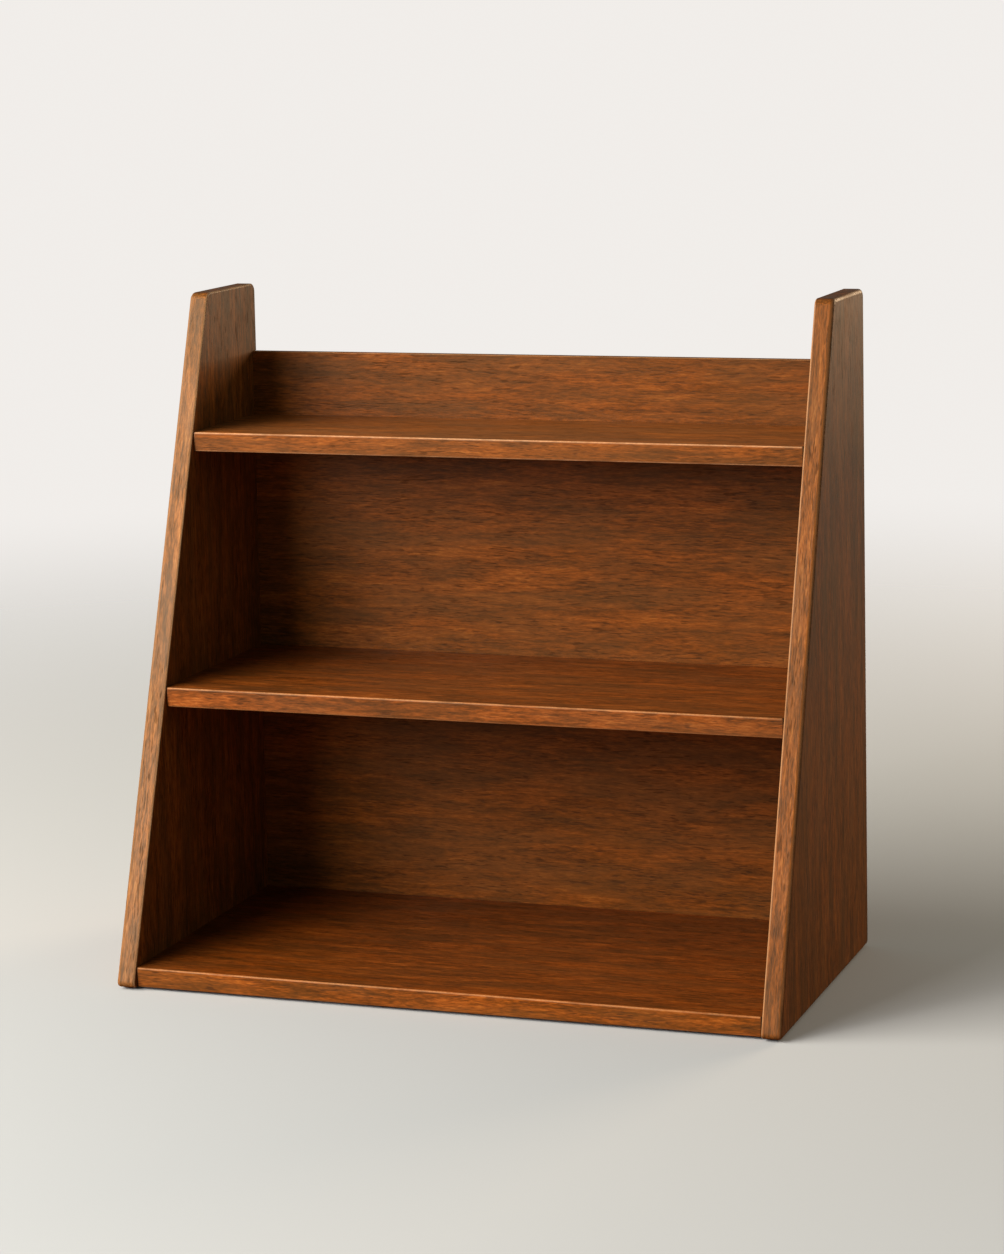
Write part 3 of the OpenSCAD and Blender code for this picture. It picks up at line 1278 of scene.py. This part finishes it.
@dataclass
class BackBoard(Board):
    """The back panel, whose top stands up behind the top shelf as a low rail."""

    arris: float = 0.5 * MM
    arris_steps: int = 3
    screw_count: int = 4
    screw_inset: float = 50.0 * MM
    screw_radius: float = 1.85 * MM
    head_radius: float = 3.6 * MM
    head_sink: float = 0.3 * MM
    head_height: float = 1.75 * MM
    screw_segments: int = 32

    def blank(self) -> bmesh.types.BMesh:
        """Makes the panel with all its edges eased.

        Returns:
            The board's mesh.
        """
        blank = square_blank(*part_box(self.node))
        round_over(blank, list(blank.edges), self.arris, self.arris_steps)
        return blank

    def waste(self) -> bmesh.types.BMesh:
        """Gathers the countersunk screw holes.

        Returns:
            The waste's mesh.
        """
        low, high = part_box(self.node)
        waste = bmesh.new()
        for level in Level:
            shelf_low, shelf_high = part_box(f"{level.value}_shelf")
            z = (shelf_low.z + shelf_high.z) / 2
            inset = self.screw_inset
            side_low, side_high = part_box("left_side")[1].x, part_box("right_side")[0].x
            for x in spaced(side_low + inset, side_high - inset, self.screw_count):
                steps = (
                    (high.y + PAST, self.head_radius),
                    (high.y - self.head_sink, self.head_radius),
                    (high.y - self.head_sink - self.head_height, self.screw_radius),
                    (low.y - PAST, self.screw_radius),
                )
                self.countersink(waste, Vector((x, 0.0, z)), steps)
        return waste

    def countersink(self, waste: bmesh.types.BMesh, axis: Vector, steps: tuple[Pair, ...]) -> None:
        """Turns the waste of one stepped hole about its axis, which runs along Y.

        Args:
            waste: The mesh that gathers the waste.
            axis: A point on the hole's axis.
            steps: Places along Y with the hole's radius there, from the rear.
        """
        outline = [waste.verts.new(axis + Vector((0.0, steps[0][0], 0.0)))]
        outline += [waste.verts.new(axis + Vector((radius, y, 0.0))) for y, radius in steps]
        outline.append(waste.verts.new(axis + Vector((0.0, steps[-1][0], 0.0))))
        edges = [waste.edges.new(pair) for pair in zip(outline, outline[1:])]
        bmesh.ops.spin(
            waste,
            geom=[*outline, *edges],
            cent=axis,
            axis=(0.0, 1.0, 0.0),
            angle=math.tau,
            steps=self.screw_segments,
            use_merge=True,
        )
        bmesh.ops.remove_doubles(waste, verts=waste.verts, dist=SAME_PLACE)
        bmesh.ops.recalc_face_normals(waste, faces=waste.faces)


@dataclass
class FeltPad:
    """A felt pad under a side board: a punched disc with a soft rim and a slightly fuzzy nap."""

    piece_name: str
    node: str
    rings: int = 6
    segments: int = 48
    rim: float = 0.45 * MM
    rim_steps: int = 3
    nap: float = 0.06 * MM
    nap_waves: float = 900.0
    piece: bpy.types.Object | None = field(default=None, init=False)

    def build(self) -> bpy.types.Object:
        """Builds the pad.

        Returns:
            The pad.
        """
        low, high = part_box(self.node)
        centre = (low + high) / 2
        radius = (high.x - low.x) / 2
        disc = bmesh.new()
        lid = bmesh.ops.create_circle(disc, cap_ends=True, segments=self.segments, radius=radius)
        bmesh.ops.translate(disc, vec=(centre.x, centre.y, low.z), verts=lid["verts"])
        raised = bmesh.ops.extrude_face_region(disc, geom=list(disc.faces))
        top = [item for item in raised["geom"] if isinstance(item, bmesh.types.BMVert)]
        bmesh.ops.translate(disc, vec=(0.0, 0.0, high.z - low.z), verts=top)
        bmesh.ops.recalc_face_normals(disc, faces=disc.faces)
        ends = [face for face in disc.faces if len(face.verts) == self.segments]
        rims = [edge for face in ends for edge in face.edges]
        round_over(disc, rims, self.rim, self.rim_steps)
        caps = [face for face in disc.faces if len(face.verts) == self.segments]
        for cap in caps:
            inner = cap
            for _ in range(self.rings):
                width = (radius - self.rim) / (self.rings + 1)
                bmesh.ops.inset_region(disc, faces=[inner], thickness=width, use_even_offset=True)
            bmesh.ops.poke(disc, faces=[inner])
        disc.normal_update()
        for vert in disc.verts:
            fuzz = (noise.noise(vert.co * self.nap_waves) - 1.0) * self.nap / 2
            vert.co += vert.normal * fuzz
        for face in disc.faces:
            face.smooth = True
        self.piece = make_piece(self.piece_name, disc)
        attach(self.piece, BODY)
        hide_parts(self.node)
        return self.piece

    def dress(self, felt: bpy.types.Material) -> None:
        """Finishes the pad.

        Args:
            felt: The felt's material.
        """
        self.piece.data.materials.append(felt)


@dataclass(frozen=True)
class Fittings:
    """The dowels and screws, whose shapes stay as they are packed and get their finishes here."""

    effects: Effects

    def dress_node(self, node: str, material: bpy.types.Material) -> None:
        """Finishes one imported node.

        Args:
            node: Its name.
            material: Its finish.
        """
        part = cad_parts[node]
        if not part.material_slots:
            part.data.materials.append(None)
        for holder in part.material_slots:
            holder.link = "OBJECT"
            holder.material = material
        LOG.info("%s: %s", node, material.name)

    def dress(self) -> None:
        """Finishes every dowel and screw."""
        beech = BeechFinish().build(self.effects)
        zinc = ZincFinish().build(self.effects)
        for level in Level:
            for side in Side:
                self.dress_node(f"{level.value}_{side.name.lower()}_dowels", beech)
            self.dress_node(f"{level.value}_screws", zinc)


# ---- Studio -----------------------------------------------------------------


def turned(degrees: float, axis: str) -> Matrix:
    """Makes a turn about an axis."""
    return Matrix.Rotation(math.radians(degrees), MATRIX_SIZE, axis)


@dataclass(frozen=True)
class Lamp:
    """A soft box: where it hangs, seen from the stand, and how strong it is."""

    name: str
    azimuth: float
    elevation: float
    distance: float
    width: float
    height: float
    power: float
    colour: Triple

    def hang(self, target: Vector) -> None:
        """Hangs the lamp.

        Args:
            target: The point that it faces.
        """
        light = bpy.data.lights.new(self.name, "AREA")
        light.shape = "RECTANGLE"
        light.size = self.width
        light.size_y = self.height
        light.energy = self.power
        light.color = self.colour
        lamp = bpy.data.objects.new(self.name, light)
        turn, lift = math.radians(self.azimuth), math.radians(self.elevation)
        level = math.cos(lift)
        away = Vector((math.sin(turn) * level, -math.cos(turn) * level, math.sin(lift)))
        lamp.location = target + away * self.distance
        lamp.rotation_mode = "QUATERNION"
        lamp.rotation_quaternion = away.to_track_quat("Z", "Y")
        lamp.visible_camera = False
        bpy.context.scene.collection.objects.link(lamp)


@dataclass(frozen=True)
class Studio:
    """The floor, the soft light and the camera."""

    floor_size: float = 8.2
    lamps: tuple[Lamp, ...] = (
        Lamp(
            name="window_box",
            azimuth=-60.0,
            elevation=30.0,
            distance=3.0,
            width=2.4,
            height=1.8,
            power=140.0,
            colour=(1.0, 0.87, 0.68),
        ),
        Lamp(
            name="front_box",
            azimuth=-28.0,
            elevation=20.0,
            distance=2.8,
            width=1.2,
            height=1.2,
            power=48.0,
            colour=(1.0, 0.90, 0.78),
        ),
        Lamp(
            name="rear_box",
            azimuth=152.0,
            elevation=14.0,
            distance=3.0,
            width=1.2,
            height=1.2,
            power=44.0,
            colour=(1.0, 0.70, 0.42),
        ),
    )
    surround_seen: Colour = (0.880, 0.850, 0.820, 1.0)
    surround_glow: Colour = (0.150, 0.168, 0.145, 1.0)
    camera_place: Triple = (0.880176, -2.473379, 0.743477)
    camera_level: float = 90.0  # the tilt at which a camera looks straight ahead
    camera_turn: float = 19.338
    camera_tilt: float = -7.234
    camera_roll: float = -1.161
    lens: float = 100.52
    sensor: float = 36.0
    lens_shift: float = -0.150
    clip: Pair = (0.05, 200.0)

    def lay_floor(self) -> None:
        """Lays the pale floor."""
        sheet = bmesh.new()
        bmesh.ops.create_grid(sheet, x_segments=1, y_segments=1, size=self.floor_size / 2)
        floor = make_piece("studio_floor", sheet)
        floor.data.materials.append(FloorFinish().build())

    def light(self) -> None:
        """Sets the surround and hangs the lamps."""
        world = bpy.data.worlds.new("studio_surround")
        world.use_nodes = True
        wiring = Wiring(world.node_tree)
        wash = world.node_tree.nodes["Background"]
        sight = wiring.place("ShaderNodeLightPath", "seen or lit by")
        seen = sight.outputs["Is Camera Ray"]
        tone = wiring.blend("surround", seen, self.surround_glow, self.surround_seen)
        wiring.feed(wash.inputs["Color"], tone)
        bpy.context.scene.world = world
        low, high = CAD_BOX
        for lamp in self.lamps:
            lamp.hang((low + high) / 2)

    def set_camera(self) -> None:
        """Sets up the camera."""
        data = bpy.data.cameras.new("viewpoint")
        data.lens = self.lens
        data.sensor_width = self.sensor
        data.sensor_fit = "AUTO"
        data.shift_y = self.lens_shift
        data.clip_start, data.clip_end = self.clip
        camera = bpy.data.objects.new("viewpoint", data)
        turn = turned(self.camera_turn, "Z")
        tilt = turned(self.camera_level + self.camera_tilt, "X")
        roll = turned(self.camera_roll, "Z")
        camera.matrix_world = Matrix.Translation(self.camera_place) @ turn @ tilt @ roll
        bpy.context.scene.collection.objects.link(camera)
        bpy.context.scene.camera = camera

    def build(self) -> None:
        """Builds the whole studio."""
        self.lay_floor()
        self.light()
        self.set_camera()
        bpy.context.scene.view_settings.view_transform = "Standard"


# ---- The stand --------------------------------------------------------------


def boards() -> list[Board]:
    """Lists the six boards, each with its own cut of timber.

    Returns:
        The boards, in the order they are made.
    """
    # Each finish's level and front paint light and shade: the board's colour scaled to how it is lit, and
    # its forward-facing faces lightened.
    return [
        SideBoard(
            "left_side_board",
            "left_side",
            WalnutFinish(
                "walnut_left_side",
                Run.ALONG_Z,
                start=(0.3, 1.7, 0.2),
                level=(1.02, 1.20, 1.50, 1.0),
                front=(1.28, 1.50, 2.30, 1.0),
                stops=LIVELY,
                lean=SIDE_LEAN,
            ),
            Side.LEFT,
        ),
        SideBoard(
            "right_side_board",
            "right_side",
            WalnutFinish(
                "walnut_right_side",
                Run.ALONG_Z,
                start=(2.1, 0.4, 1.1),
                level=(1.0, 1.06, 1.20, 1.0),
                front=(1.22, 1.32, 1.75, 1.0),
                stops=LIVELY,
                lean=SIDE_LEAN,
            ),
            Side.RIGHT,
        ),
        ShelfBoard(
            "bottom_shelf_board",
            "bottom_shelf",
            WalnutFinish(
                "walnut_bottom_shelf",
                Run.ALONG_X,
                start=(4.2, 0.9, 0.5),
                level=(0.84, 0.70, 0.60, 1.0),
                front=(1.55, 1.80, 2.20, 1.0),
                stops=LIVELY,
            ),
        ),
        ShelfBoard(
            "middle_shelf_board",
            "middle_shelf",
            WalnutFinish(
                "walnut_middle_shelf",
                Run.ALONG_X,
                start=(1.3, 2.6, 0.8),
                level=(0.96, 0.86, 0.84, 1.0),
                front=(1.22, 1.34, 1.90, 1.0),
                stops=LIVELY,
            ),
        ),
        ShelfBoard(
            "top_shelf_board",
            "top_shelf",
            WalnutFinish(
                "walnut_top_shelf",
                Run.ALONG_X,
                start=(3.4, 3.1, 1.9),
                level=(1.20, 1.24, 1.50, 1.0),
            ),
        ),
        BackBoard(
            "back_board",
            "back_panel",
            WalnutFinish("walnut_back", Run.ALONG_X, start=(0.8, 5.3, 2.7)),
        ),
    ]


def main() -> None:
    """Builds the stand and the studio round it."""
    logging.basicConfig(level=logging.INFO, format="%(name)s: %(message)s")
    effects = Effects()
    Studio().build()
    for board in boards():
        board.build()
        board.dress(effects)
        LOG.info("%s: %d faces", board.piece_name, len(board.piece.data.polygons))
    felt = FeltFinish().build(effects)
    for end in End:
        for side in Side:
            place = f"{end.value}_{side.name.lower()}"
            pad = FeltPad(f"{place}_felt", f"{place}_pad")
            pad.build()
            pad.dress(felt)
            LOG.info("%s: %d faces", pad.piece_name, len(pad.piece.data.polygons))
    Fittings(effects).dress()


if __name__ == "__main__":
    main()
